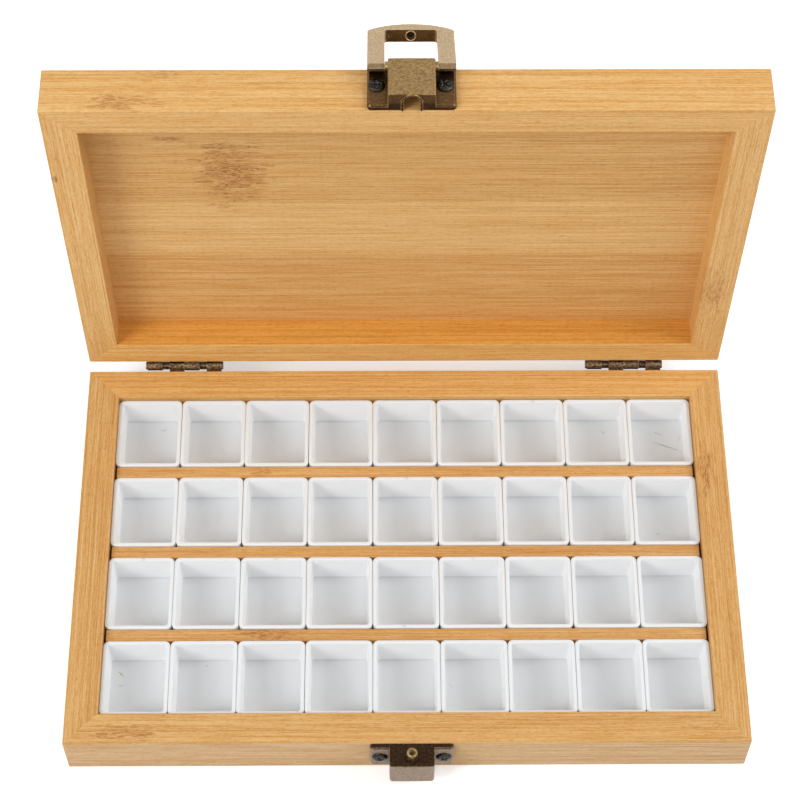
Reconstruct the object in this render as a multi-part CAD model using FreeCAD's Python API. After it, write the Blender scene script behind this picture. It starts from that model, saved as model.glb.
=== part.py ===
import FreeCAD, Part
import math
import os
from FreeCAD import Vector

# A hinged bamboo box for watercolour half pans, with its lid standing open.
# Millimetres. The origin is the middle of the underside, +Z is up, the hinges are at the
# back (+Y) and the latch is at the front (-Y).
# The box is sized from the pans that it holds, and the lid is modelled shut, then opened.

# Half pans: moulded cups that narrow towards the floor, rounded in few facets as there are many.
pan_width = 16.3
pan_length = 19.6
pan_height = 10.0
pan_wall = 0.95
pan_floor = 1.0
pan_corner = 1.4
pan_inner_corner = 0.7
pan_corner_facets = 2
pan_draft = 2.0  # degrees
pan_gap = 0.25
pans_per_row = 9
pan_rows = 4

# The tray round them.
wall = 8.0
base_panel = 2.5
panel_rebate = 4.0
panel_fit = 0.1
tray_clearance = 0.15
pan_below_rim = 1.5
divider_width = 3.1
divider_below_pan = 0.3
divider_side_gap = 0.15
divider_end_gap = 0.6
divider_ease = 0.25
edge_ease = 0.25
corner_round = 0.35

# The lid.
lid_panel = 4.4
lid_recess = 7.6
seam_gap = 0.15
lid_open = 90.0  # degrees

# Stop hinges: two rolled leaves each, a pin, and lugs that meet when the lid is open.
hinge_inset = 24.8
hinge_pin_radius = 0.6
hinge_pin_play = 0.05
knuckle_wall = 0.65
knuckle_length = 3.95
stop_length = 1.8
stop_wall = 0.4
stop_slack = 1.0  # degrees
axial_play = 0.1
barrel_gap = 0.4
pin_head_length = 0.4
pin_head_radius = 1.05
leaf_height = 9.0
leaf_thickness = 0.75
leaf_corner = 1.2

# Both halves of the latch: plates on the front walls, each with a block in its middle. They are
# fitted by hand, a little to the right of the box's middle.
latch_aside = 1.1
plate_width = 20.0
plate_corner = 1.0
plate_ease = 0.4
block_ease = 0.5

# Housing on the lid: a hollow block that carries the loop's pivot.
housing_margin = 0.2
housing_thickness = 1.4
housing_block_width = 10.7
housing_block_height = 10.5
housing_block_depth = 5.7
housing_block_crown = 0.35
slot_width = 3.75
slot_depth = 5.0
slot_length = 7.2
slot_rim = 0.55
slot_rim_rise = 0.25
pivot_up = 9.3
pivot_out = 4.0
pivot_radius = 0.6
pivot_play = 0.05
pivot_boss_radius = 1.25

# Loop: two arms that turn on the pivot, joined by an arched bar.
loop_window = 12.1
arm_thickness = 1.9
bar_width = 3.45
bar_thickness = 3.0
bar_arch = 3.8
bar_corner = 1.5
bar_swell = 5.0
bar_edge_round = 0.5
window_corner = 1.0
bar_hole_radius = 1.0
bar_hole_depth = 1.3
loop_rest_gap = 0.1

# Catch on the base: a plate with a solid nose that the loop's bar snaps under.
catch_top_gap = 0.2
catch_height = 9.75
catch_thickness = 1.45
catch_block_width = 10.8
catch_block_depth = 6.0
catch_block_crown = 0.15
catch_nose_round = 0.8
catch_nose_bow = 0.3
latch_clearance = 0.2

# Hollow-ended locating screw on top of the catch, and the ball of the detent below it.
locator_radius = 1.3
locator_out = 3.2
locator_play = 0.03
locator_rise = 2.3
locator_sunk = 3.6
locator_cup_radius = 0.85
locator_cup_depth = 1.0
locator_bevel = 0.25
detent_radius = 0.95
detent_rise = 0.12
detent_play = 0.05
detent_bore = 3.0

# Worked out from the sizes above.
pan_pitch = pan_width + pan_gap
row_pitch = pan_length + divider_width + 2 * divider_side_gap
tray_width = pans_per_row * pan_pitch - pan_gap + 2 * tray_clearance
tray_depth = (pan_rows - 1) * row_pitch + pan_length + 2 * tray_clearance
box_width = tray_width + 2 * wall
box_depth = tray_depth + 2 * wall
base_height = base_panel + pan_height + pan_below_rim
lid_height = lid_panel + lid_recess
lid_low = base_height + seam_gap
lid_high = lid_low + lid_height
front_face = -box_depth / 2
back_face = box_depth / 2

barrel_radius = hinge_pin_radius + hinge_pin_play + knuckle_wall
hinge_bore = hinge_pin_radius + hinge_pin_play
hinge_x = box_width / 2 - hinge_inset
axis_y = back_face + barrel_gap + barrel_radius
axis_z = base_height + seam_gap / 2
barrel_length = 4 * knuckle_length + 2 * stop_length
leaf_clear = barrel_radius + barrel_gap

pivot_y = front_face - pivot_out
pivot_z = lid_low + pivot_up
catch_high = base_height - catch_top_gap
catch_low = catch_high - catch_height
bar_reach = pivot_z - catch_low + latch_clearance
loop_end = bar_reach + bar_width
plate_edge_up = lid_height - housing_margin - pivot_up
plate_edge_out = pivot_out - housing_thickness
loop_lean = math.degrees(
    math.atan2(plate_edge_out, plate_edge_up)
    - math.asin((arm_thickness / 2 + loop_rest_gap) / math.hypot(plate_edge_up, plate_edge_out))
)
loop_travel = 180 + loop_lean


# ---------------------------------------------------------------- drawing and placing
def plan(z):
    """Places a point of a plan view at height z."""
    return lambda p: Vector(p.x, p.y, z)


def side_view(x):
    """Places a point of a side view, (y, z), at x."""
    return lambda p: Vector(x, p.x, p.y)


def front_view(y):
    """Places a point of a front view, (x, z), at y."""
    return lambda p: Vector(p.x, y, p.y)


def rounded_face(corners, place):
    """A face with straight sides; each corner (u, v, radius) is rounded by a tangent arc."""
    turns = []
    for i, (u, v, radius) in enumerate(corners):
        here = Vector(u, v, 0)
        before = Vector(*corners[i - 1][:2], 0)
        after = Vector(*corners[(i + 1) % len(corners)][:2], 0)
        back = (before - here).normalize()
        ahead = (after - here).normalize()
        half = back.getAngle(ahead) / 2
        reach = radius / math.tan(half)
        middle = here + (back + ahead).normalize() * (radius / math.sin(half) - radius)
        turns.append((here + back * reach, middle, here + ahead * reach, radius))
    edges = []
    for i, (start, middle, finish, radius) in enumerate(turns):
        if radius > 0:
            edges.append(Part.Arc(place(start), place(middle), place(finish)).toShape())
        following = turns[(i + 1) % len(turns)][0]
        if (following - finish).Length > 1e-6:
            edges.append(Part.makeLine(place(finish), place(following)))
    return Part.Face(Part.Wire(edges))


def rectangle(low, high, radius):
    """The four corners of a rectangle, all rounded alike."""
    (u0, v0), (u1, v1) = low, high
    return [(u0, v0, radius), (u1, v0, radius), (u1, v1, radius), (u0, v1, radius)]


def centred(width, depth, radius):
    """The four corners of a rectangle about the origin."""
    return rectangle((-width / 2, -depth / 2), (width / 2, depth / 2), radius)


def bowed_face(width, far, shoulder, bow, place):
    """A face as wide as given whose end, from shoulder to shoulder, is an arc out to bow."""
    half = width / 2
    corners = [(half, shoulder), (half, far), (-half, far), (-half, shoulder)]
    points = [place(Vector(u, v, 0)) for u, v in corners]
    edges = [Part.makeLine(a, b) for a, b in zip(points, points[1:])]
    edges.append(Part.Arc(points[3], place(Vector(0, bow, 0)), points[0]).toShape())
    return Part.Face(Part.Wire(edges))


def turned(shape, degrees, centre, axis):
    """A copy of a shape, turned about an axis through a point."""
    copy = shape.copy()
    copy.rotate(centre, axis, degrees)
    return copy


def moved(shape, x, y, z):
    """A copy of a shape, moved."""
    copy = shape.copy()
    copy.translate(Vector(x, y, z))
    return copy


def opened(shape):
    """A shape on the shut lid, carried to where it is when the lid stands open."""
    return turned(shape, -lid_open, Vector(0, axis_y, axis_z), Vector(1, 0, 0))


def rod(radius, x0, x1, y, z):
    """A round bar along X."""
    return Part.makeCylinder(radius, x1 - x0, Vector(x0, y, z), Vector(1, 0, 0))


def turned_piece(outline):
    """A solid of revolution about Z from (distance from the axis, height, rounding) corners."""
    return rounded_face(outline, front_view(0)).revolve(Vector(), Vector(0, 0, 1), 360)


# ---------------------------------------------------------------- wooden shells
def wall_section(height, panel, low, upwards):
    """The section of a wall: eased edges, and a rebate where the panel's edge is let in."""
    seat = wall - panel_rebate
    corners = [
        (0, 0, edge_ease),
        (0, height, edge_ease),
        (wall, height, edge_ease),
        (wall, panel, 0),
        (seat, panel, 0),
        (seat, 0, 0),
    ]
    return [(across, low + upwards * up, radius) for across, up, radius in corners]


def mitred_walls(height, panel, low, upwards):
    """Four walls, front, right, back and left, mitred where they meet."""
    bottom = min(low, low + upwards * height)
    rise = Vector(0, 0, height)
    outline = rounded_face(centred(box_width, box_depth, corner_round), plan(bottom)).extrude(rise)
    section = rounded_face(wall_section(height, panel, low, upwards), side_view(0))
    walls = []
    for quarter in range(4):
        length, depth = (box_width, box_depth) if quarter % 2 == 0 else (box_depth, box_width)
        strip = moved(section.extrude(Vector(length, 0, 0)), -length / 2, -depth / 2, 0)
        mitre = [
            (-length / 2, -depth / 2, 0),
            (length / 2, -depth / 2, 0),
            (length / 2 - wall, wall - depth / 2, 0),
            (wall - length / 2, wall - depth / 2, 0),
        ]
        piece = strip.common(rounded_face(mitre, plan(bottom)).extrude(rise))
        walls.append(turned(piece, 90 * quarter, Vector(), Vector(0, 0, 1)).common(outline))
    return walls


def wooden_panel(thickness, low):
    """A panel that lies in the rebates of the four walls."""
    width = tray_width + 2 * (panel_rebate - panel_fit)
    depth = tray_depth + 2 * (panel_rebate - panel_fit)
    return rounded_face(centred(width, depth, 0), plan(low)).extrude(Vector(0, 0, thickness))


def row_dividers():
    """The strips between the rows, glued on the bottom panel."""
    height = pan_height - divider_below_pan
    length = tray_width - 2 * divider_end_gap
    half = divider_width / 2
    corners = [
        (-half, base_panel, 0),
        (half, base_panel, 0),
        (half, base_panel + height, divider_ease),
        (-half, base_panel + height, divider_ease),
    ]
    strip = rounded_face(corners, side_view(-length / 2)).extrude(Vector(length, 0, 0))
    middles = [(row + 0.5 - (pan_rows - 1) / 2) * row_pitch for row in range(pan_rows - 1)]
    return Part.makeCompound([moved(strip, 0, y, 0) for y in middles])


# ---------------------------------------------------------------- pans
def facet_ring(half_x, half_y, corner, z):
    """The points of a rectangle at height z, each corner rounded in flat facets."""
    points = []
    for quarter, (x, y) in enumerate([(1, 1), (-1, 1), (-1, -1), (1, -1)]):
        middle = Vector(x * (half_x - corner), y * (half_y - corner), z)
        for step in range(pan_corner_facets + 1):
            angle = math.radians(90 * (quarter + step / pan_corner_facets))
            points.append(middle + Vector(math.cos(angle), math.sin(angle), 0) * corner)
    return points


def cup_form(inset, corner, low, high):
    """A block with flat sides that narrows downwards with the pan's draft."""
    rings = []
    for z in (low, high):
        taper = inset + (pan_height - z) * math.tan(math.radians(pan_draft))
        rings.append(facet_ring(pan_width / 2 - taper, pan_length / 2 - taper, corner, z))
    outlines = list(rings)
    for i in range(len(rings[0])):
        outlines.append([rings[0][i - 1], rings[0][i], rings[1][i], rings[1][i - 1]])
    faces = [Part.Face(Part.makePolygon(outline + outline[:1])) for outline in outlines]
    return Part.Solid(Part.Shell(faces))


def half_pan():
    """One pan with its floor at z = 0."""
    cup = cup_form(0, pan_corner, 0, pan_height)
    return cup.cut(cup_form(pan_wall, pan_inner_corner, pan_floor, pan_height + pan_wall))


# ---------------------------------------------------------------- hinges
def ring_sector(inner, outer, start, end, x0, x1):
    """Part of a ring about the hinge axis, between two angles from +Y towards +Z."""
    def at(radius, degrees):
        angle = math.radians(degrees)
        return Vector(x0, axis_y + radius * math.cos(angle), axis_z + radius * math.sin(angle))

    middle = (start + end) / 2
    edges = [
        Part.Arc(at(outer, start), at(outer, middle), at(outer, end)).toShape(),
        Part.makeLine(at(outer, end), at(inner, end)),
        Part.Arc(at(inner, end), at(inner, middle), at(inner, start)).toShape(),
        Part.makeLine(at(inner, start), at(outer, start)),
    ]
    return Part.Face(Part.Wire(edges)).extrude(Vector(x1 - x0, 0, 0))


def hinge_leaf(knuckles, lug_side, lug_angles, upwards):
    """A leaf on the back face with two rolled knuckles, each with a stop lug on one side."""
    near = axis_z + upwards * leaf_clear
    far = near + upwards * leaf_height
    half = barrel_length / 2
    back = front_view(back_face)
    thickness = Vector(0, leaf_thickness, 0)
    corners = [(-half, near, 0), (half, near, 0), (half, far, leaf_corner), (-half, far, leaf_corner)]
    leaf = rounded_face(corners, back).extrude(thickness)
    spans = [(x + axial_play / 2, x + knuckle_length - axial_play / 2) for x in knuckles]
    for low, high in spans:
        neck = rectangle((low, min(near, axis_z)), (high, max(near, axis_z)), 0)
        leaf = leaf.fuse(rod(barrel_radius, low, high, axis_y, axis_z))
        leaf = leaf.fuse(rounded_face(neck, back).extrude(thickness))
    leaf = leaf.cut(rod(hinge_bore, -half, half, axis_y, axis_z))
    for low, high in spans:
        root, reach = (high, stop_length) if lug_side > 0 else (low, -stop_length)
        x0, x1 = sorted((root, root + reach))
        leaf = leaf.fuse(ring_sector(hinge_bore, hinge_bore + stop_wall, *lug_angles, x0, x1))
    return leaf.removeSplitter()


def at_hinges(shape):
    """The same piece at the left and the right hinge."""
    return Part.makeCompound([moved(shape, side * hinge_x, 0, 0) for side in (-1, 1)])


def base_leaves():
    """The leaves on the base: their lugs are half rings, under the pin."""
    knuckles = [knuckle_length + stop_length - barrel_length / 2, barrel_length / 2 - knuckle_length]
    return at_hinges(hinge_leaf(knuckles, -1, (180, 360 - stop_slack), -1))


def lid_leaves():
    """The leaves on the lid: their quarter-ring lugs meet the others at full opening."""
    knuckles = [-barrel_length / 2, 2 * knuckle_length + stop_length - barrel_length / 2]
    return at_hinges(hinge_leaf(knuckles, 1, (lid_open, 180 - stop_slack), 1))


def hinge_pins():
    """The pins, headed at both ends."""
    half = barrel_length / 2
    shank = rod(hinge_pin_radius, -half, half, axis_y, axis_z)
    left = rod(pin_head_radius, -half - pin_head_length, -half, axis_y, axis_z)
    right = rod(pin_head_radius, half, half + pin_head_length, axis_y, axis_z)
    return at_hinges(shank.fuse([left, right]).removeSplitter())


# ---------------------------------------------------------------- latch
def front_plate(low, high, thickness):
    """A flat plate on the front face with rounded corners and a softened rim."""
    corners = rectangle((-plate_width / 2, low), (plate_width / 2, high), plate_corner)
    plate = rounded_face(corners, front_view(front_face)).extrude(Vector(0, -thickness, 0))
    rim = [e for e in plate.Edges if e.BoundBox.YMax < front_face - thickness / 2]
    return plate.makeChamfer(plate_ease, rim)


def front_block(width, low, high, depth, crown, nose):
    """A block on the front face, crowned from side to side, with its lower nose rounded."""
    face = front_face - depth
    rise = Vector(0, 0, high - low)
    crowned = bowed_face(width, front_face, face + crown, face, plan(low)).extrude(rise)
    ahead = [e for e in crowned.Edges if e.BoundBox.YMax < front_face]
    crowned = crowned.makeFillet(block_ease, [e for e in ahead if e.BoundBox.ZLength > block_ease])
    sides = [(front_face, low, 0), (face, low, nose), (face, high, block_ease), (front_face, high, 0)]
    return crowned.common(rounded_face(sides, side_view(-width / 2)).extrude(Vector(width, 0, 0)))


def slot_form(widen, low, high):
    """The arch-topped slot of the housing, open to the wood."""
    spring = front_face - slot_depth + slot_width / 2
    width = slot_width + 2 * widen
    arch = bowed_face(width, front_face, spring, spring - width / 2, plan(low))
    return arch.extrude(Vector(0, 0, high - low))


def latch_housing():
    """The plate and hollow block on the lid, with bosses that space the loop's arms."""
    low = lid_low + housing_margin
    body = front_plate(low, lid_high - housing_margin, housing_thickness)
    block = front_block(
        housing_block_width, low, low + housing_block_height,
        housing_block_depth, housing_block_crown, block_ease,
    )
    boss_reach = loop_window / 2 - pivot_play
    bosses = rod(pivot_boss_radius, -boss_reach, boss_reach, pivot_y, pivot_z)
    lip = slot_form(slot_rim, low - slot_rim_rise, low + block_ease)
    body = body.fuse([block, bosses, lip]).cut(slot_form(0, low - slot_rim_rise, low + slot_length))
    body = body.cut(rod(pivot_radius + pivot_play, -plate_width, plate_width, pivot_y, pivot_z))
    return body.removeSplitter()


def latch_loop():
    """The loop as it hangs when latched, its arms pointing down from the pivot."""
    half = plate_width / 2
    inner = loop_window / 2
    eye = arm_thickness / 2
    thick = bar_thickness / 2
    top = pivot_z + eye
    bar_top = pivot_z - bar_reach
    low = pivot_z - loop_end
    front = front_view(pivot_y - bar_thickness)
    through = Vector(0, 2 * bar_thickness, 0)
    outline = bowed_face(plate_width, top, low + bar_arch, low, front).extrude(through)
    bends = [e for e in outline.Edges if e.BoundBox.YLength > bar_thickness and e.BoundBox.ZMax < pivot_z]
    outline = outline.makeFillet(bar_corner, bends)
    window = [
        (-inner, top, 0),
        (inner, top, 0),
        (inner, bar_top, window_corner),
        (-inner, bar_top, window_corner),
    ]
    outline = outline.cut(rounded_face(window, front).extrude(through))
    profile = [
        (pivot_y - eye, top, eye),
        (pivot_y + eye, top, eye),
        (pivot_y + eye, bar_top + bar_swell, arm_thickness),
        (pivot_y + thick, bar_top + eye, arm_thickness),
        (pivot_y + thick, low, bar_edge_round),
        (pivot_y - thick, low, bar_edge_round),
        (pivot_y - thick, bar_top + eye, arm_thickness),
        (pivot_y - eye, bar_top + bar_swell, arm_thickness),
    ]
    loop = outline.common(rounded_face(profile, side_view(-half)).extrude(Vector(plate_width, 0, 0)))
    loop = loop.cut(rod(pivot_radius + pivot_play, -half, half, pivot_y, pivot_z))
    floor = Vector(0, pivot_y, bar_top - bar_hole_depth)
    return loop.cut(Part.makeCylinder(bar_hole_radius, 2 * bar_hole_depth, floor)).removeSplitter()


def swung_back(shape):
    """A shape on the latched loop, turned back to where the arms lean on the plate's edge."""
    return turned(shape, -loop_travel, Vector(0, pivot_y, pivot_z), Vector(1, 0, 0))


def pivot_pin():
    """The pin through the block and both arms."""
    half = plate_width / 2 - pivot_play
    return rod(pivot_radius, -half, half, pivot_y, pivot_z)


def locating_screw(play):
    """The hollow-ended screw that stands out of the catch's top, or with play its hole."""
    radius = locator_radius + play
    outline = [
        (0, -locator_sunk, 0),
        (radius, -locator_sunk, 0),
        (radius, locator_rise - locator_bevel, 0),
        (radius - locator_bevel, locator_rise, 0),
        (locator_cup_radius, locator_rise, 0),
        (0, locator_rise - locator_cup_depth, 0),
    ]
    return moved(turned_piece(outline), 0, front_face - locator_out, catch_high)


def detent_ball():
    """The ball that clicks into the hole of the loop's bar."""
    return Part.makeSphere(detent_radius, Vector(0, pivot_y, catch_low - detent_rise + detent_radius))


def catch_body():
    """The plate and nose on the base, bored for the locating screw and the detent."""
    body = front_plate(catch_low, catch_high, catch_thickness)
    nose = front_block(
        catch_block_width, catch_low, catch_high, catch_block_depth, catch_block_crown, catch_nose_round
    )
    underside = bowed_face(
        catch_block_width, catch_high, catch_low + catch_nose_bow, catch_low, front_view(front_face)
    ).extrude(Vector(0, -catch_block_depth, 0))
    bore = Part.makeCylinder(detent_radius + detent_play, detent_bore, Vector(0, pivot_y, catch_low))
    return body.fuse(nose.common(underside)).cut([locating_screw(locator_play), bore]).removeSplitter()


# ---------------------------------------------------------------- assembly
os.makedirs("parts", exist_ok=True)
sides = ("front", "right", "back", "left")
parts = {}

base_walls = dict(zip(sides, mitred_walls(base_height, base_panel, 0, 1)))
for side, piece in base_walls.items():
    parts["base_" + side + "_wall"] = piece
parts["base_bottom_panel"] = wooden_panel(base_panel, 0)
parts["row_dividers"] = row_dividers()

pan = half_pan()
for row in range(pan_rows):
    for column in range(pans_per_row):
        x = (column - (pans_per_row - 1) / 2) * pan_pitch
        y = ((pan_rows - 1) / 2 - row) * row_pitch
        parts["pan_r%d_c%d" % (row + 1, column + 1)] = moved(pan, x, y, base_panel)

parts["hinge_base_leaves"] = base_leaves()
parts["hinge_pins"] = hinge_pins()

catch = {"body": catch_body(), "locating_screw": locating_screw(0), "detent_ball": detent_ball()}
for name, shape in catch.items():
    parts["catch_" + name] = moved(shape, latch_aside, 0, 0)

lid_walls = dict(zip(sides, mitred_walls(lid_height, lid_panel, lid_high, -1)))
for side, piece in lid_walls.items():
    parts["lid_" + side + "_wall"] = opened(piece)
parts["lid_panel"] = opened(wooden_panel(lid_panel, lid_high - lid_panel))
parts["hinge_lid_leaves"] = opened(lid_leaves())

latch = {"housing": latch_housing(), "pivot_pin": pivot_pin(), "loop": swung_back(latch_loop())}
for name, shape in latch.items():
    parts["latch_" + name] = opened(moved(shape, latch_aside, 0, 0))

for name, shape in parts.items():
    shape.exportStep("parts/" + name + ".step")
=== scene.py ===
import math
import random

import bmesh
import bpy
from mathutils import Matrix, Vector


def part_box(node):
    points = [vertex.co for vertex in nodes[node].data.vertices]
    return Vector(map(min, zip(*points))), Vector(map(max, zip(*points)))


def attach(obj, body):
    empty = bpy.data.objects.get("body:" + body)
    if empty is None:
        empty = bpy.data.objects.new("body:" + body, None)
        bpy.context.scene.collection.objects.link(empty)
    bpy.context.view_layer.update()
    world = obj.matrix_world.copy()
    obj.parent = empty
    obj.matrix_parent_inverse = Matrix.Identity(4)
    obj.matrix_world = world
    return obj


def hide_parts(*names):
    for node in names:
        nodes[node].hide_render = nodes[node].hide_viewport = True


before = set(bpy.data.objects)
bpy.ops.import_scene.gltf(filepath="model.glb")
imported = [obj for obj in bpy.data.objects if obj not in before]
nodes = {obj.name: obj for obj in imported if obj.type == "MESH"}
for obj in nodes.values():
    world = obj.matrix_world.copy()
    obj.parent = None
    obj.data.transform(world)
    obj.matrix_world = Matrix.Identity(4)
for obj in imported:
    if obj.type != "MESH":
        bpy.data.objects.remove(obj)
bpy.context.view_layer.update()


# ---------------------------------------------------------------- base frame
# Four bamboo walls, ripped from laminated board, mitred and glued at the corners. Their edges
# are eased with a sanding block, and a thin satin lacquer leaves the fibres to be felt.
def feed(tree, node, feeds):
    """The shader node, with the sockets that feeds names set to a value or linked to an output."""
    for key, value in feeds.items():
        if isinstance(value, bpy.types.NodeSocket):
            tree.links.new(value, node.inputs[key])
        else:
            node.inputs[key].default_value = value
    return node


def wire(tree, kind, feeds=None, **settings):
    """A new shader node with its settings, and its sockets fed."""
    made = tree.nodes.new(kind)
    for key, value in settings.items():
        setattr(made, key, value)
    return feed(tree, made, feeds or {})


def tint(tree, amount, under, over, blend="MIX"):
    """Colour over laid on colour under by that amount."""
    feeds = {0: amount}
    for key, value in ((6, under), (7, over)):
        feeds[key] = value if isinstance(value, bpy.types.NodeSocket) else (*value, 1.0)
    return wire(tree, "ShaderNodeMix", feeds, data_type="RGBA", blend_type=blend).outputs[2]


def between(tree, value, low, high, least=0.0, most=1.0):
    """How far value has come from low to high, as a number from least to most."""
    feeds = {"Value": value, "From Min": low, "From Max": high, "To Min": least, "To Max": most}
    return wire(tree, "ShaderNodeMapRange", feeds, interpolation_type="SMOOTHSTEP").outputs[0]


def sums(tree, how, first, second):
    """Two numbers put together."""
    return wire(tree, "ShaderNodeMath", {0: first, 1: second}, operation=how).outputs[0]


def vectors(tree, how, first, second=(0, 0, 0)):
    """Two vectors put together, into a number for a length or a dot product."""
    made = wire(tree, "ShaderNodeVectorMath", {0: first, 1: second}, operation=how)
    return made.outputs["Value" if how in ("LENGTH", "DOT_PRODUCT") else "Vector"]


def along_axis(tree, where, axis):
    """How far along X, Y or Z a place is."""
    return wire(tree, "ShaderNodeSeparateXYZ", {0: where}).outputs["XYZ".index(axis)]


def on_face(tree, here, normal):
    """1 on a face that looks the way of the normal, and 0 on one that looks elsewhere."""
    return between(tree, vectors(tree, "DOT_PRODUCT", here.outputs["Normal"], normal), 0.5, 0.9)


def marks(tree, where, along, size, shift, detail=2.0, roughness=0.55):
    """Random marks from 0 to 1. size is how wide one is and how long it is along that axis."""
    across, length = size
    scale = [1 / across] * 3
    scale["XYZ".index(along)] = 1 / length
    feeds = {"Vector": where, "Location": (shift, shift * 1.7, shift * 0.6), "Scale": scale}
    feeds = {"Vector": wire(tree, "ShaderNodeMapping", feeds).outputs[0],
             "Scale": 1.0, "Detail": detail, "Roughness": roughness}
    return wire(tree, "ShaderNodeTexNoise", feeds).outputs["Fac"]


def new_material(name):
    """A material, its node tree and its shader."""
    material = bpy.data.materials.new(name)
    material.use_nodes = True
    return material, material.node_tree, material.node_tree.nodes["Principled BSDF"]


def culm_joints(tree, where, along, shift, knots):
    """1 in the brown marks where the culm had its joints, with frayed edges, and 0 elsewhere."""
    frayed = marks(tree, where, along, (0.0008, 0.005), shift + 3)
    frayed = between(tree, frayed, 0.2, 0.8, -0.6, 0.6)
    joint = 0.0
    for centre, half, strength in knots:
        off = vectors(tree, "SUBTRACT", where, centre)
        off = vectors(tree, "MULTIPLY", off, [1 / reach for reach in half])
        edge = sums(tree, "ADD", vectors(tree, "LENGTH", off), frayed)
        joint = sums(tree, "MAXIMUM", joint, between(tree, edge, 1.1, 0.3, 0.0, strength))
    return joint


def glued_strips(tree, where, axis, edges):
    """The tones of strips glued edge to edge, each from its own edge to the next."""
    first, last = edges[0][0], edges[-1][0]
    feeds = {"Value": along_axis(tree, where, axis), "From Min": first, "From Max": last}
    part = wire(tree, "ShaderNodeMapRange", feeds).outputs[0]
    strip = wire(tree, "ShaderNodeValToRGB", {"Fac": part})
    strip.color_ramp.interpolation = "CONSTANT"
    stops = strip.color_ramp.elements
    for i, (edge, tone) in enumerate(edges[:-1]):
        stop = stops[0] if i == 0 else stops.new((edge - first) / (last - first))
        stop.color = (*tone, 1.0)
    stops.remove(stops[len(stops) - 1])
    return strip.outputs["Color"]


def bamboo(name, along, light, dark, shift, boards=None, knots=(), painted_face_lighting=None):
    """Bamboo with fibres along one axis, and its grain shifted so that no two pieces are alike.
    boards is (axis, [(edge, tone), ...]) for glued strips, a knot is (centre, half size,
    strength), and painted_face_lighting is (normal, tint) for a face tinted by the way it looks:
    painted light where the tint brightens it, painted shade where it darkens it."""
    material, tree, shader = new_material(name)
    here = wire(tree, "ShaderNodeTexCoord")
    where = here.outputs["Object"]
    if knots:  # the fibres sway round a joint
        sway_reach = 0.0036
        joint = culm_joints(tree, where, along, shift, knots)
        sway = marks(tree, where, along, (0.004, 0.005), shift + 21, detail=0.0)
        push = sums(tree, "MULTIPLY", sums(tree, "SUBTRACT", sway, 0.5), joint)
        where = vectors(tree, "ADD", where, sums(tree, "MULTIPLY", push, sway_reach))
    lines = marks(tree, where, along, (0.00034, 0.10), shift, detail=1.0)
    cells = marks(tree, where, along, (0.00027, 0.011), shift + 5, detail=1.0)
    hairs = marks(tree, where, along, (0.00022, 0.0019), shift + 7, detail=0.0)
    grit = marks(tree, where, along, (0.00020, 0.0007), shift + 11, detail=0.0)
    bands = marks(tree, where, along, (0.0034, 0.16), shift + 9, detail=1.5)
    cloud = marks(tree, where, along, (0.010, 0.035), shift + 13, detail=1.0)
    wood = tint(tree, between(tree, bands, 0.34, 0.66, 0.2, 0.6), light, dark)
    wood = tint(tree, between(tree, cloud, 0.4, 0.7, 0.0, 0.3), wood, dark)
    if boards:
        wood = tint(tree, 1.0, wood, glued_strips(tree, where, *boards), "MULTIPLY")
    rust, cream_and_sheen = (0.83, 0.68, 0.46), (1.0, 0.82, 0.50)
    for mark, low, high, deep, pale in ((lines, 0.52, 0.62, 0.52, 0.10),
                                        (cells, 0.53, 0.62, 0.42, 0.08),
                                        (hairs, 0.55, 0.68, 0.50, 0.0),
                                        (grit, 0.55, 0.68, 0.45, 0.0)):
        wood = tint(tree, between(tree, mark, low, high, 0.0, deep), wood, rust, "MULTIPLY")
        # Pale streaks screened on in cream: pale fibres, and painted sheen on them.
        if pale:
            wood = tint(tree, between(tree, mark, 0.46, 0.36, 0.0, pale), wood, cream_and_sheen, "SCREEN")
    if knots:
        toasted, charred = (0.53, 0.245, 0.065), (0.29, 0.105, 0.026)
        dashes = marks(tree, where, along, (0.00030, 0.0022), shift + 17, detail=1.0)
        wood = tint(tree, sums(tree, "MULTIPLY", joint, 0.7), wood, toasted)
        scars = sums(tree, "MULTIPLY", between(tree, dashes, 0.46, 0.58), joint)
        wood = tint(tree, scars, wood, charred)
    # The face that looks the way of the normal gets painted light where the tint brightens it, and
    # painted shade where it darkens it.
    if painted_face_lighting:
        normal, wash = painted_face_lighting
        wood = tint(tree, on_face(tree, here, normal), wood, wash, "MULTIPLY")
    grain = {"Strength": 0.25, "Distance": 0.00012, "Height": sums(tree, "ADD", cells, hairs)}
    feed(tree, shader, {"Base Color": wood,
                        "Roughness": between(tree, cells, 0.3, 0.7, 0.42, 0.6),
                        "Specular IOR Level": 0.35,
                        "Normal": wire(tree, "ShaderNodeBump", grain).outputs[0]})
    return material


def dressed(node, material):
    """A piece of the frame shown in that material."""
    piece = nodes[node]
    piece.data.materials.clear()
    piece.data.materials.append(material)
    return piece


honey, amber = (0.665, 0.395, 0.142), (0.575, 0.315, 0.100)
# Brighter copies of honey and amber for the back wall: painted light where the lid shades it.
lit_honey, lit_amber = (0.755, 0.45, 0.156), (0.655, 0.36, 0.110)
# The front face is made paler and less orange: painted light thrown up from the white table.
painted_table_light = (1.0, 1.1, 1.45)
dressed("base_front_wall", bamboo("bamboo_base_front", "X", honey, amber, shift=3.0,
        knots=[((-0.068, -0.0495, 0.014), (0.009, 0.0024, 0.004), 0.6)],
        painted_face_lighting=((0, -1, 0), painted_table_light)))
dressed("base_back_wall", bamboo("bamboo_base_back", "X", lit_honey, lit_amber, shift=17.0))
dressed("base_left_wall", bamboo("bamboo_base_left", "Y", honey, amber, shift=29.0))
dressed("base_right_wall", bamboo("bamboo_base_right", "Y", honey, amber, shift=41.0,
        knots=[((0.0768, 0.0225, 0.014), (0.0024, 0.0075, 0.004), 0.75)]))


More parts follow.
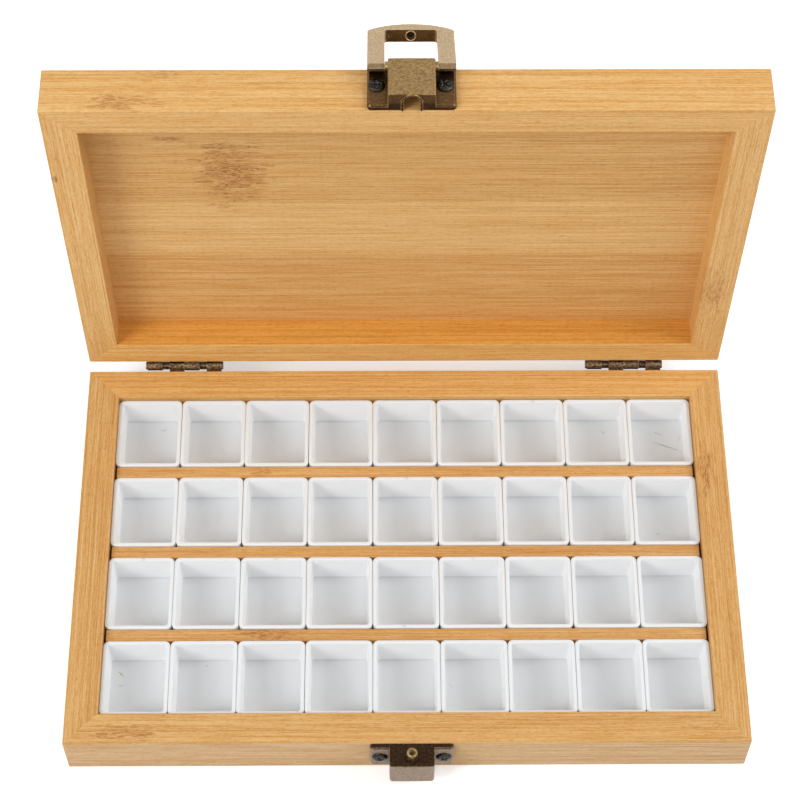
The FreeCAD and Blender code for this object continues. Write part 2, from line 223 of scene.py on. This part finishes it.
# ---------------------------------------------------------------- bottom panel
# A thin bamboo board let into a rebate under the walls, made of strips glued edge to edge.
# It is sanded but hardly lacquered, and only its underside and the slits by the strips show.
dressed("base_bottom_panel", bamboo("bamboo_bottom", "X", honey, amber, shift=53.0,
        boards=("Y", [(-0.05, (0.96, 0.95, 0.93)), (-0.026, (1.04, 1.05, 1.08)),
                      (-0.003, (0.98, 0.96, 0.92)), (0.02, (1.03, 1.02, 1.0)), (0.05, (1, 1, 1))])))


# ---------------------------------------------------------------- row dividers
# Three sawn bamboo strips stand on the bottom between the rows of pans, a little short of the
# side walls, so that a dark slit shows at each end. Their top edges are just broken.
straw, tan = (0.665, 0.38, 0.135), (0.565, 0.295, 0.096)
dressed("row_dividers", bamboo("bamboo_strip", "X", straw, tan, shift=61.0,
        knots=[((-0.035, -0.0225, 0.0122), (0.008, 0.004, 0.004), 0.7),
               ((-0.037, 0.0232, 0.0122), (0.0025, 0.003, 0.004), 0.4)]))


# ---------------------------------------------------------------- pans
# Thirty-six half pans, moulded in white polystyrene with a little draft so that they leave the
# tool. They lie loose in the rows, and some keep a nib on the rim where the gate was broken off.
wider, longer = 0.00016, 0.00006  # than the solids, which keep more play between the pans
pan_low, pan_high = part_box("pan_r1_c1")
pan_width = pan_high.x - pan_low.x + wider
pan_length = pan_high.y - pan_low.y + longer
pan_height = pan_high.z - pan_low.z
pan_wall, pan_floor, pan_draft = 0.00095, 0.001, math.tan(math.radians(2))
outer_corner, inner_corner, mouth_corner = 0.0014, 0.0006, 0.0007
floor_fillet, rim_round = 0.0005, 0.00018
foot_band, foot_slope, foot_recess = 0.0005, 0.0001, 0.00025
foot_inset, foot_lift = 0.00012, 0.00014
nib_radius, nib_aside, nib_sunk, nib_wide, nib_low = 0.00028, 0.0004, 0.00005, 1.4, 0.7


def moulded_white(scuffs):
    """White polystyrene, greyer on the floor and a bluish grey along the rim, both painted shade. A
    scuff on a floor is (place, half length and width, turn in degrees, strength, stain)."""
    material, tree, shader = new_material("white_polystyrene")
    where = wire(tree, "ShaderNodeTexCoord").outputs["Object"]
    flow = marks(tree, where, "Y", (0.004, 0.009), 2.0)
    dust = marks(tree, where, "Y", (0.00022, 0.0004), 7.0)
    white = tint(tree, flow, (0.865, 0.88, 0.89), (0.885, 0.895, 0.90))
    height = along_axis(tree, where, "Z")
    floor_shade, rim_shade, dust_grey = (0.715, 0.73, 0.74), (0.755, 0.787, 0.81), (0.55, 0.53, 0.5)
    # Painted shade: the floor, below 4.4 mm, and the rim, above 12.1 mm, are greyed.
    white = tint(tree, between(tree, height, 0.0044, 0.0038), white, floor_shade)
    white = tint(tree, between(tree, height, 0.0121, 0.0124), white, rim_shade)
    white = tint(tree, between(tree, dust, 0.70, 0.78, 0.0, 0.35), white, dust_grey)
    floor_level, scuff_depth = 0.004, 0.0015
    for (x, y), (long, wide), turn, strength, stain in scuffs:
        feeds = {"Vector": where, "Location": (x, y, floor_level),
                 "Scale": (long, wide, scuff_depth), "Rotation": (0, 0, math.radians(turn))}
        mark = wire(tree, "ShaderNodeMapping", feeds, vector_type="TEXTURE").outputs[0]
        mark = vectors(tree, "LENGTH", mark)
        mark = sums(tree, "ADD", mark, between(tree, dust, 0.3, 0.7, -0.5, 0.5))
        white = tint(tree, between(tree, mark, 1.1, 0.5, 0.0, strength), white, stain)
    ripple = {"Strength": 0.06, "Distance": 0.0002, "Height": flow}
    feed(tree, shader, {"Base Color": white,
                        "Roughness": between(tree, flow, 0.3, 0.7, 0.32, 0.44),
                        "Subsurface Weight": 0.35,
                        "Subsurface Radius": (1.0, 1.0, 0.95),
                        "Subsurface Scale": 0.0012,
                        "Normal": wire(tree, "ShaderNodeBump", ripple).outputs[0]})
    return material


def rounded_ring(half_x, half_y, corner, height, steps=6):
    """Points round a rectangle with rounded corners."""
    ring = []
    for quarter, (x, y) in enumerate([(1, 1), (-1, 1), (-1, -1), (1, -1)]):
        for step in range(steps + 1):
            angle = math.radians(90 * (quarter + step / steps))
            ring.append(Vector((x * (half_x - corner) + corner * math.cos(angle),
                                y * (half_y - corner) + corner * math.sin(angle), height)))
    return ring


def pan_rings():
    """The pan's skin as rings, from the underside out, up, over the rim and down to the floor."""
    skin = []

    def ring(inset, corner, height):
        skin.append(rounded_ring(pan_width / 2 - inset, pan_length / 2 - inset, corner, height))

    def rolled(turns, corner, inset, into, height, up):
        """A quarter round, into and up from that inset and height."""
        for turn in turns:
            angle = math.radians(turn)
            ring(inset + into * (1 - math.cos(angle)), corner, height + up * (1 - math.sin(angle)))

    foot = pan_height * pan_draft
    ring(foot + foot_band + foot_slope, outer_corner, foot_recess)
    ring(foot + foot_band, outer_corner, 0.0)
    ring(foot + foot_inset, outer_corner, 0.0)
    ring(foot, outer_corner, foot_lift)
    rolled((0, 30, 60, 90), outer_corner, 0.0, rim_round, pan_height, -rim_round)
    rolled((90, 60, 30, 0), mouth_corner, pan_wall, -rim_round, pan_height, -rim_round)
    deep = pan_wall + (pan_height - pan_floor) * pan_draft
    rolled((0, 22.5, 45, 67.5, 90), inner_corner, deep, floor_fillet, pan_floor, floor_fillet)
    return skin


def skinned(rings):
    """A closed mesh over rings of points, with a face on the first ring and on the last."""
    mesh = bmesh.new()
    rows = [[mesh.verts.new(point) for point in ring] for ring in rings]
    for below, above in zip(rows, rows[1:]):
        for i in range(len(below)):
            mesh.faces.new((below[i - 1], below[i], above[i], above[i - 1]))
    mesh.faces.new(rows[0])
    mesh.faces.new(rows[-1])
    return mesh


def solid_of(name, mesh, material):
    """A finished piece from its bmesh, smooth but for its sharp edges."""
    data = bpy.data.meshes.new(name)
    bmesh.ops.recalc_face_normals(mesh, faces=mesh.faces)
    mesh.to_mesh(data)
    mesh.free()
    data.materials.append(material)
    for face in data.polygons:
        face.use_smooth = True
    data.set_sharp_from_angle(angle=math.radians(42))
    piece = bpy.data.objects.new(name, data)
    bpy.context.scene.collection.objects.link(piece)
    return piece


def half_pan(name, middle, floor_z, turn, nib, material):
    """One pan. nib is 0 for none, over 0 for one on the back rim and under 0 for the front, and
    says how far off the middle it lies."""
    mesh = skinned(pan_rings())
    if nib:
        side = 1 if nib > 0 else -1
        at = Vector((nib_aside * nib, side * (pan_length - pan_wall) / 2, pan_height - nib_sunk))
        bump = bmesh.ops.create_uvsphere(mesh, u_segments=12, v_segments=8, radius=nib_radius)
        for vertex in bump["verts"]:
            vertex.co = Vector((vertex.co.x * nib_wide, vertex.co.y, vertex.co.z * nib_low)) + at
    placed = Matrix.Translation((*middle, floor_z)) @ Matrix.Rotation(turn, 4, "Z")
    bmesh.ops.transform(mesh, matrix=placed, verts=mesh.verts)
    return solid_of(name, mesh, material)


grey, brown, blue = (0.30, 0.30, 0.31), (0.42, 0.30, 0.12), (0.30, 0.38, 0.50)
polystyrene = moulded_white([
    ((0.0688, 0.0352), (0.0042, 0.00022), -21, 0.75, grey),
    ((0.0669, 0.0391), (0.0010, 0.00025), -25, 0.5, grey),
    ((0.0725, 0.0377), (0.0008, 0.0002), 60, 0.35, grey),
    ((-0.0634, 0.0406), (0.0008, 0.0004), 10, 0.4, grey),
    ((-0.0708, -0.0294), (0.0010, 0.00024), -45, 0.8, brown),
    ((-0.0705, -0.0326), (0.0010, 0.0003), 5, 0.4, blue),
    ((0.0565, 0.0228), (0.0009, 0.0003), 15, 0.4, grey),
    ((0.0650, 0.0092), (0.0005, 0.0003), 0, 0.4, grey),
    ((-0.0450, 0.0230), (0.0006, 0.0003), 30, 0.35, grey),
    ((0.0110, -0.0330), (0.0007, 0.0002), -40, 0.3, grey),
    ((0.0525, 0.0394), (0.0007, 0.0003), -50, 0.4, grey),
    ((-0.0496, -0.0273), (0.0004, 0.0003), 0, 0.45, grey)])
shaken = random.Random(36)
slack, tilt = 0.00002, 0.08  # how far a pan lies off its middle, and how many degrees askew
gate_nibs = {(2, 5): 1, (3, 6): 1, (3, 1): 1, (3, 3): 1.5, (3, 5): -1, (1, 7): 1, (4, 4): -0.5}
for row in range(1, 5):
    for column in range(1, 10):
        node = f"pan_r{row}_c{column}"
        low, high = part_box(node)
        middle = [(low[i] + high[i]) / 2 + shaken.uniform(-slack, slack) for i in (0, 1)]
        lean = math.radians(shaken.uniform(-tilt, tilt))
        nib = gate_nibs.get((row, column), 0)
        pan = half_pan(f"half_{node}", middle, low.z, lean, nib, polystyrene)
        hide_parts(node)
        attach(pan, node)


# ---------------------------------------------------------------- hinges
# Two stop hinges of pressed steel, plated and aged to antique bronze. The leaves are rolled
# round a headed pin, narrow lugs meet when the lid stands upright, and four countersunk screws
# hold each hinge.
def antique_bronze(name, bright, dull, wear, brushed="X", shaded_side=None, shaded_lower_part=None,
                   wear_and_glint=(1.35, 1.4, 1.5), wear_and_glint_width=0.00022, rough=(0.32, 0.48)):
    """Aged plating, from dull to bright with the wear, darkened in the hollows by painted shade
    that stands also for the patina kept there, and on its edges brighter by the factors in
    wear_and_glint, over wear_and_glint_width, for wear and as painted glints. shaded_side is
    (normal, tint) for a face darkened as painted shade, shaded_lower_part is (axis, low, high,
    tint) for painted shade on what lies below low, and rough is the least and the most roughness."""
    material, tree, shader = new_material(name)
    here = wire(tree, "ShaderNodeTexCoord")
    where = here.outputs["Object"]
    mottle = marks(tree, where, brushed, (0.00036, 0.0006), 3.0, detail=3.0, roughness=0.7)
    scuffs = marks(tree, where, brushed, (0.00016, 0.003), 8.0)
    # The edges that the Bevel node finds are brightened, for wear and as painted glints.
    eased = wire(tree, "ShaderNodeBevel", {"Radius": wear_and_glint_width}, samples=6).outputs[0]
    sharp = wire(tree, "ShaderNodeNewGeometry").outputs["Normal"]
    edge = between(tree, vectors(tree, "DOT_PRODUCT", eased, sharp), 0.99, 0.84)
    # Painted shade: the hollows that the AO node finds are darkened, which stands also for the
    # patina kept there.
    open_air = wire(tree, "ShaderNodeAmbientOcclusion", {"Distance": 0.0022}, samples=6)
    hollow = between(tree, open_air.outputs["AO"], 0.75, 0.35, 0.0, 0.7)
    metal = tint(tree, between(tree, mottle, 0.36, 0.64), dull, bright)
    metal = tint(tree, wear, metal, bright)
    metal = tint(tree, between(tree, scuffs, 0.50, 0.70, 0.0, 0.5), metal, dull)
    # Painted shade on what lies below low.
    if shaded_lower_part:
        axis, low, high, wash = shaded_lower_part
        level = along_axis(tree, where, axis)
        metal = tint(tree, between(tree, level, high, low), metal, wash, "MULTIPLY")
    # Painted shade on the face that looks the way of the normal.
    if shaded_side:
        normal, wash = shaded_side
        metal = tint(tree, on_face(tree, here, normal), metal, wash, "MULTIPLY")
    shade_and_patina, shine = (0.03, 0.02, 0.012), [tone * more for tone, more in zip(bright, wear_and_glint)]
    metal = tint(tree, hollow, metal, shade_and_patina)
    wear_and_glint_mask = sums(tree, "MULTIPLY", edge, between(tree, mottle, 0.3, 0.6, 0.35, 0.9))
    pits = {"Strength": 0.3, "Distance": 0.00005, "Height": sums(tree, "ADD", mottle, scuffs)}
    feed(tree, shader, {"Base Color": tint(tree, wear_and_glint_mask, metal, shine),
                        "Roughness": between(tree, mottle, 0.3, 0.7, *rough),
                        "Metallic": 1.0,
                        "Normal": wire(tree, "ShaderNodeBump", pits).outputs[0]})
    return material


def softened(piece, width):
    """Roll the piece's sharp edges over by that width, as plating and tumbling leave them."""
    piece.modifiers.new("joined", "WELD").merge_threshold = 0.000002
    roll = piece.modifiers.new("rolled_edges", "BEVEL")
    roll.width = width
    roll.segments = 2
    roll.limit_method = "ANGLE"
    roll.angle_limit = math.radians(40)
    piece.modifiers.new("even_shine", "WEIGHTED_NORMAL").keep_sharp = True


old_bronze, patina = (0.30, 0.20, 0.12), (0.045, 0.029, 0.018)
# The hinge's edges are brightened for wear and as painted highlights.
hinge_metal = antique_bronze("bronze_hinge", old_bronze, patina, wear=0.0, wear_and_glint=(2.0, 2.1, 2.2))
for leaf in ("hinge_base_leaves", "hinge_lid_leaves", "hinge_pins"):
    softened(dressed(leaf, hinge_metal), width=0.00012)


def carved(piece, tool):
    """Cut the tool's shape out of the piece. The tool is used up."""
    cut = piece.modifiers.new("cut", "BOOLEAN")
    cut.object = tool
    cut.solver = "EXACT"
    bpy.context.view_layer.update()
    seen = bpy.context.evaluated_depsgraph_get()
    data = bpy.data.meshes.new_from_object(piece.evaluated_get(seen), depsgraph=seen)
    piece.modifiers.clear()
    piece.data = data
    bpy.data.objects.remove(tool)


def cross_headed_screw(name, at, outward, size, material, turn):
    """A screw head at that place, with a cross recess turned by that many degrees. size is its
    radius, the height of its dome, and how deep its rim goes into the plate."""
    radius, dome, sink = size
    bevel, rim_height, flat_top = 0.0001, 0.00006, 0.00002
    outline = [(radius * 0.86, -sink), (radius, -sink + bevel)]
    for step in range(7):
        angle = math.radians(90 * step / 6)
        outline.append((radius * math.cos(angle) + flat_top, rim_height + dome * math.sin(angle)))
    around = [math.tau * i / 40 for i in range(40)]
    head = solid_of(name, skinned([[(reach * math.cos(a), reach * math.sin(a), height)
                                    for a in around] for reach, height in outline]), material)
    arm, thick, depth, clear = radius * 0.74, radius * 0.19, dome * 0.9, 0.0004
    cross = [(x * a - y * b, x * b + y * a) for a, b in ((1, 0), (0, 1), (-1, 0), (0, -1))
             for x, y in ((arm, -thick), (arm, thick), (thick, thick))]
    bit = skinned([[(x * taper, y * taper, height) for x, y in cross]
                   for taper, height in ((0.45, dome - depth), (1.05, dome + clear))])
    carved(head, solid_of("driver_bit", bit, material))
    head.data.transform(Matrix.Translation(at)
                        @ Vector(outward).to_track_quat("Z", "Y").to_matrix().to_4x4()
                        @ Matrix.Rotation(math.radians(turn), 4, "Z"))
    return head


black, soot = (0.075, 0.068, 0.06), (0.014, 0.012, 0.011)
# The black heads' edges are brightened for wear and as painted glints.
blackened = antique_bronze("blackened_screw", black, soot, wear=0.0, wear_and_glint=(5.5, 5.0, 4.6))
leaf_half_height, leaf_half_width, leaf_thickness = 0.0045, 0.0097, 0.00075
screw_reach, countersunk = 0.0052, (0.0017, 0.0003, 0.0004)
leaf_low, leaf_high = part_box("hinge_base_leaves")
hinge_middle = leaf_high.x - leaf_half_width
base_leaf_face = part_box("base_back_wall")[1].y + leaf_thickness
base_leaf_middle = leaf_low.z + leaf_half_height
lid_leaf_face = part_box("lid_back_wall")[0].z - leaf_thickness
lid_leaf_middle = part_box("hinge_lid_leaves")[1].y - leaf_half_height
for side in (-1, 1):
    for hand in (-1, 1):
        x = side * hinge_middle + hand * screw_reach
        which = f"{'left' if side < 0 else 'right'}_{'outer' if side * hand > 0 else 'inner'}"
        low_screw = cross_headed_screw(f"hinge_base_screw_{which}",
                                       (x, base_leaf_face, base_leaf_middle), (0, 1, 0),
                                       countersunk, blackened, turn=20 * hand)
        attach(low_screw, "base")
        high_screw = cross_headed_screw(f"hinge_lid_screw_{which}",
                                        (x, lid_leaf_middle, lid_leaf_face), (0, 0, -1),
                                        countersunk, blackened, turn=35 * hand)
        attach(high_screw, "lid")


# ---------------------------------------------------------------- catch
# A die-cast plate on the base's front, with a thick nose that the loop snaps under. A hollow-
# ended brass screw in its top finds the lid's plate, a steel ball sits in the nose's underside,
# and two domed screws with black heads hold the plate; their edges are brightened for wear and
# as painted glints. The catch's top face is darkened as painted shade.
# The catch's top face is darkened as painted shade.
catch_metal = antique_bronze("bronze_catch", (0.315, 0.225, 0.15), (0.085, 0.06, 0.04), wear=0.2,
                             shaded_side=((0, 0, 1), (0.20, 0.155, 0.125)))
catch_low, catch_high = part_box("catch_body")
aside = (catch_low.x + catch_high.x) / 2
nose_half, nose_corner, catch_thickness = 0.0054, 0.0017, 0.00145
plate_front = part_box("base_front_wall")[0].y - catch_thickness
cast = nodes["catch_body"].data.copy()
cast.name = "cast_catch"
cast.materials.clear()
cast.materials.append(catch_metal)
catch = bpy.data.objects.new("cast_catch", cast)
bpy.context.scene.collection.objects.link(catch)
overhang, off_plate = 0.001, 0.00002  # the nose's lower corners are filed round, clear of the plate
for hand in (-1, 1):
    middle_x, middle_z = aside + hand * (nose_half - nose_corner), catch_low.z + nose_corner
    beyond, below = aside + hand * (nose_half + overhang), catch_low.z - overhang
    outline = [(middle_x + hand * nose_corner * math.sin(a), middle_z - nose_corner * math.cos(a))
               for a in [math.radians(90 * i / 8) for i in range(9)]]
    outline += [(beyond, middle_z), (beyond, below), (middle_x, below)]
    corner_file = skinned([[(x, y, z) for x, z in outline]
                           for y in (plate_front - off_plate, catch_low.y - overhang)])
    carved(catch, solid_of("corner_file", corner_file, catch_metal))
catch.data.set_sharp_from_angle(angle=math.radians(30))
softened(catch, width=0.00018)
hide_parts("catch_body")
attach(catch, "base")
brass = antique_bronze("brass_screw", (0.44, 0.315, 0.155), (0.15, 0.09, 0.04), wear=0.25)
dressed("catch_locating_screw", brass)
# The screw heads' edges are brightened far beyond the metal, as painted glints.
worn_screw_with_glints = antique_bronze("worn_screw_with_glints", (0.07, 0.064, 0.058), soot, wear=0.0,
                            wear_and_glint=(12.0, 11.5, 11.0), wear_and_glint_width=0.00013)
steel = antique_bronze("steel_ball", (0.62, 0.61, 0.60), (0.42, 0.41, 0.40), wear=0.7)
dressed("catch_detent_ball", steel)
plate_screw_reach, below_top, domed = 0.0077, 0.0048, (0.0019, 0.0007, 0.0001)
for hand in (-1, 1):
    place = (aside + hand * plate_screw_reach, plate_front, catch_high.z - below_top)
    screw = cross_headed_screw(f"catch_screw_{'left' if hand < 0 else 'right'}", place,
                               (0, -1, 0), domed, worn_screw_with_glints, turn=28 + 14 * hand)
    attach(screw, "base")


# ---------------------------------------------------------------- lid frame
# The lid's walls are mitred and eased like the base's, a little lower, from a paler length of
# the board. The back wall is painted brighter, and its inner face a deeper orange, as the light
# that the panel throws back onto it; the side walls' inner faces carry painted shade.
pale, wheat = (0.78, 0.475, 0.176), (0.685, 0.385, 0.125)
# Brighter copies of pale and wheat for the back wall: painted light, with its inner face tinted
# deeper orange by the light the panel throws back.
lit_pale, lit_wheat = (0.83, 0.50, 0.176), (0.73, 0.405, 0.122)
dressed("lid_front_wall", bamboo("bamboo_lid_front", "X", pale, wheat, shift=71.0,
        knots=[((-0.064, 0.057, 0.12098), (0.009, 0.003, 0.004), 0.5),
               ((-0.056, 0.065, 0.12098), (0.005, 0.002, 0.004), 0.5)]))
dressed("lid_back_wall", bamboo("bamboo_lid_back", "X", lit_pale, lit_wheat, shift=83.0,
        painted_face_lighting=((0, 0, 1), (0.88, 0.72, 0.41))))
# The side walls' inner faces are darkened as painted shade, the left one more.
dressed("lid_left_wall", bamboo("bamboo_lid_left", "Z", pale, wheat, shift=97.0,
        knots=[((-0.0818, 0.0545, 0.0959), (0.0012, 0.003, 0.0016), 0.7)],
        painted_face_lighting=((1, 0, 0), (0.86, 0.82, 0.78))))
dressed("lid_right_wall", bamboo("bamboo_lid_right", "Z", pale, wheat, shift=101.0,
        knots=[((0.077, 0.0545, 0.048), (0.004, 0.004, 0.010), 0.45)],
        painted_face_lighting=((-1, 0, 0), (0.97, 0.97, 0.92))))


# ---------------------------------------------------------------- lid panel
# A thicker board of bamboo strips glued edge to edge, each strip with its own tone. It sits in
# the lid's rebate, and one strip shows the brown mark of the culm's joint.
dressed("lid_panel", bamboo("bamboo_lid_panel", "X", pale, wheat, shift=113.0,
        boards=("Z", [(0.018, (0.99, 0.90, 0.81)), (0.0316, (0.95, 0.87, 0.80)),
                      (0.0536, (1.04, 1.08, 1.18)), (0.0757, (0.92, 0.90, 0.87)),
                      (0.1018, (0.95, 0.92, 0.86)), (0.118, (1, 1, 1))]),
        knots=[((-0.0415, 0.0621, 0.088), (0.0085, 0.005, 0.0125), 0.8),
               ((-0.0545, 0.0621, 0.101), (0.005, 0.004, 0.0012), 0.6)]))


# ---------------------------------------------------------------- latch plate
# Cast in one with the block that carries the loop's pin. The block's face toward the seam and
# the plate below the block's top are darkened as painted shade, and the plate is held by two
# black screws.
latch_thickness, dark_rise, bright_rise = 0.0014, 0.000525, 0.001725
plate_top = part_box("latch_housing")[0].z + latch_thickness
# The block's face toward the seam and the plate below the block's top carry painted shade.
latch_metal = antique_bronze("bronze_latch", (0.44, 0.283, 0.124), (0.19, 0.12, 0.047), wear=0.15,
                             shaded_side=((0, -1, 0), (0.32, 0.25, 0.22)),
                             shaded_lower_part=("Z", plate_top + dark_rise, plate_top + bright_rise,
                                         (0.42, 0.36, 0.34)))
softened(dressed("latch_housing", latch_metal), width=0.00015)
dressed("latch_pivot_pin", hinge_metal)
off_middle, from_rim = 0.0002, 0.0061
lid_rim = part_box("lid_front_wall")[0].y
for hand in (-1, 1):
    place = (aside - off_middle + hand * plate_screw_reach, lid_rim + from_rim, plate_top)
    screw = cross_headed_screw(f"latch_screw_{'left' if hand < 0 else 'right'}", place,
                               (0, 0, 1), domed, blackened, turn=25 + 30 * hand)
    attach(screw, "lid")


# ---------------------------------------------------------------- latch loop
# A cast loop that swings on the pin: two arms and an arched bar that snaps under the catch, with
# a hole for the catch's ball and a raised rim round it. Its faces are brushed to a sandy bronze,
# and its inner face is darkened as painted shade.
# The inner face, toward the seam, is darkened as painted shade.
loop_metal = antique_bronze("bronze_loop", (0.67, 0.51, 0.32), (0.35, 0.25, 0.153), wear=0.25,
                            brushed="Y", shaded_side=((0, -0.873, 0.488), (0.22, 0.17, 0.10)),
                            rough=(0.58, 0.68))
loop_lean = math.radians(29.2)
arm_out, arm_in, bar_near, bar_far = 0.0100, 0.00605, 0.0196, 0.02330
arm_half, bar_half, crown, shoulder, crook = 0.00095, 0.0015, 0.00405, 0.0015, 0.0010
swell_before_bar, swell_length = 0.0050, 0.0040
pin_bore, ball_hole, ball_hole_depth = 0.00065, 0.001, 0.0013
dot, dot_depth, dot_aside = 0.00035, 0.0004, -0.0048
rim_radius, rim_wire, rim_proud = 0.00118, 0.00013, 0.00003


def straight(start, end, steps):
    """Points from one to the other, with both."""
    return [[near + (far - near) * i / steps for near, far in zip(start, end)]
            for i in range(steps + 1)]


def arc(middle, radius, first, last, steps):
    """Points round a middle from one angle to another, without the first."""
    turns = [first + (last - first) * i / steps for i in range(1, steps + 1)]
    return [(middle[0] + radius * math.cos(a), middle[1] + radius * math.sin(a)) for a in turns]


def loop_outlines():
    """The loop's left half, outside and inside, as pairs of (x, distance from the pin)."""
    half_turn, quarter_turn = math.pi, math.pi / 2
    bow = (arm_out ** 2 + crown ** 2) / (2 * crown)
    bow_middle = bar_far - bow
    edge = math.acos((arm_out - shoulder) / (bow - shoulder))
    lip = bow_middle + (bow - shoulder) * math.sin(edge)
    corner_x, corner_down = -arm_in + crook, bar_near - crook
    outside = (straight((-arm_out, -arm_half), (-arm_out, lip), 24)
               + arc((-arm_out + shoulder, lip), shoulder, half_turn, half_turn - edge, 8)
               + arc((0, bow_middle), bow, half_turn - edge, quarter_turn, 24))
    inside = (straight((-arm_in, -arm_half), (-arm_in, corner_down), 24)
              + arc((corner_x, corner_down), crook, half_turn, quarter_turn, 8)
              + straight((corner_x, bar_near), (0, bar_near), 24)[1:])
    return outside, inside


def half_thickness(down):
    """How thick the loop is on each side of its middle plane, that far from the pin."""
    if down < 0:
        return math.sqrt(max(arm_half ** 2 - down ** 2, 1e-10))
    swell = min(max((down - bar_near + swell_before_bar) / swell_length, 0), 1)
    return arm_half + (bar_half - arm_half) * swell * swell * (3 - 2 * swell)


def latch_loop():
    """The loop as it is cast, with the pin's axis along X and the bar out along Y."""
    outside, inside = loop_outlines()
    outside += [(-x, down) for x, down in reversed(outside[:-1])]
    inside += [(-x, down) for x, down in reversed(inside[:-1])]
    rows = [[(x, down, side * half_thickness(down))
             for side, (x, down) in ((1, outer), (1, inner), (-1, inner), (-1, outer))]
            for outer, inner in zip(outside, inside)]
    return solid_of("cast_loop", skinned(rows), loop_metal)


def bored(piece, radius, length, place):
    """Drill a round hole in the piece, along the Z axis of that place."""
    drill = bmesh.new()
    bmesh.ops.create_cone(drill, cap_ends=True, segments=32, radius1=radius, radius2=radius,
                          depth=length, matrix=place)
    carved(piece, solid_of("drill", drill, piece.data.materials[0]))


def wire_ring(radius, wire_radius):
    """A ring of round wire about the Y axis."""
    mesh = bmesh.new()
    around, about = [[math.tau * i / count for i in range(count)] for count in (40, 10)]
    rows = []
    for a in around:
        reaches = [(radius + wire_radius * math.cos(b), -wire_radius * math.sin(b)) for b in about]
        rows.append([mesh.verts.new((reach * math.cos(a), down, reach * math.sin(a)))
                     for reach, down in reaches])
    for i in range(len(around)):
        for j in range(len(about)):
            mesh.faces.new((rows[i - 1][j - 1], rows[i][j - 1], rows[i][j], rows[i - 1][j]))
    return mesh


loop = latch_loop()
across = Matrix.Rotation(math.radians(90), 4, "Y")
into_bar = Matrix.Rotation(math.radians(90), 4, "X")
bored(loop, pin_bore, 3 * arm_out, across)
bored(loop, ball_hole, 2 * ball_hole_depth, Matrix.Translation((0, bar_near, 0)) @ into_bar)
bored(loop, dot, 2 * dot_depth, Matrix.Translation((dot_aside, bar_near, 0)) @ into_bar)
pin = [(low + high) / 2 for low, high in zip(*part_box("latch_pivot_pin"))]
lie = Matrix.Translation((aside, pin[1], pin[2])) @ Matrix.Rotation(-loop_lean, 4, "X")
loop.data.transform(lie)
loop.data.set_sharp_from_angle(angle=math.radians(38))
softened(loop, width=0.00022)
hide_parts("latch_loop")
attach(loop, "latch_loop")

rubbed_metal = antique_bronze("rubbed_rim", (0.60, 0.47, 0.32), (0.40, 0.29, 0.18), wear=0.6)
hole_rim = solid_of("ball_hole_rim", wire_ring(rim_radius, rim_wire), rubbed_metal)
hole_rim.data.transform(lie @ Matrix.Translation((0, bar_near + rim_proud, 0)))
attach(hole_rim, "latch_loop")


# ---------------------------------------------------------------- light and floor
# The box stands on a plain white table under an even sky of studio cloth, with one soft box in
# front at the left and one at the right. Round the box the table takes its shadow, and farther
# off it fades into the white of the cloth.
plain_white, no_colour = (1.0, 1.0, 1.0), (0.0, 0.0, 0.0)
table_reach, below_box = 4.0, 0.0001
fade_start, fade_end, near_glow = 0.20, 0.60, 0.3


def seen_directly(tree):
    """1 for a ray from the camera, metal or glass, and 0 for one that only gathers light."""
    ray = wire(tree, "ShaderNodeLightPath").outputs
    return sums(tree, "MAXIMUM", ray["Is Camera Ray"],
                sums(tree, "MAXIMUM", ray["Is Glossy Ray"], ray["Is Transmission Ray"]))


def white_table():
    """Matt white that keeps shadows near the box, and shows as plain white farther off."""
    material, tree, shader = new_material("white_table")
    where = wire(tree, "ShaderNodeTexCoord").outputs["Object"]
    paper = tint(tree, marks(tree, where, "X", (1.0, 1.0), 0.0), (0.76,) * 3, (0.78,) * 3)
    shown = seen_directly(tree)
    away = vectors(tree, "LENGTH", where)
    faded = tint(tree, between(tree, away, fade_start, fade_end), plain_white, no_colour)
    glow = between(tree, away, fade_start, fade_end, near_glow, 1.0)
    feed(tree, shader, {"Base Color": tint(tree, shown, paper, faded),
                        "Emission Color": (*plain_white, 1.0),
                        "Emission Strength": sums(tree, "MULTIPLY", shown, glow),
                        "Roughness": 0.9,
                        "Specular IOR Level": 0.0})
    return material


table = bpy.data.meshes.new("table")
table.from_pydata([(x * table_reach, y * table_reach, -below_box)
                   for x, y in ((-1, -1), (1, -1), (1, 1), (-1, 1))], [], [(0, 1, 2, 3)])
table.materials.append(white_table())
floor = bpy.data.objects.new("table", table)
bpy.context.scene.collection.objects.link(floor)

sky = bpy.data.worlds.new("studio")
sky.use_nodes = True
bpy.context.scene.world = sky
air = sky.node_tree
height = along_axis(air, wire(air, "ShaderNodeTexCoord").outputs["Generated"], "Z")
glow = tint(air, between(air, height, 0.0, 0.9), (0.63, 0.63, 0.64), (0.50, 0.50, 0.50))
feed(air, air.nodes["Background"], {"Color": tint(air, seen_directly(air), glow, plain_white)})

aimed_at = Vector((0, 0, 0.04))
for place, strength, width in (((-0.66, -0.44, 0.72), 5.2, 0.40),
                               ((0.78, -0.04, 0.74), 5.4, 0.55)):
    lamp = bpy.data.lights.new("soft_box", "AREA")
    lamp.energy = strength
    lamp.size = width
    stand = bpy.data.objects.new("soft_box", lamp)
    stand.location = place
    stand.rotation_euler = (aimed_at - stand.location).to_track_quat("-Z", "Y").to_euler()
    bpy.context.scene.collection.objects.link(stand)

lens = bpy.data.cameras.new("camera")
lens.sensor_width = 36
lens.lens = 102.24307
lens.clip_start = 0.01
camera = bpy.data.objects.new("camera", lens)
camera.location = (-0.0052298, -0.2632510, 0.5210434)
camera.rotation_euler = [math.radians(a) for a in (31.16519, -0.24401, -0.35587)]
bpy.context.scene.collection.objects.link(camera)
bpy.context.scene.camera = camera
bpy.context.scene.view_settings.view_transform = "Standard"

bpy.context.view_layer.update()
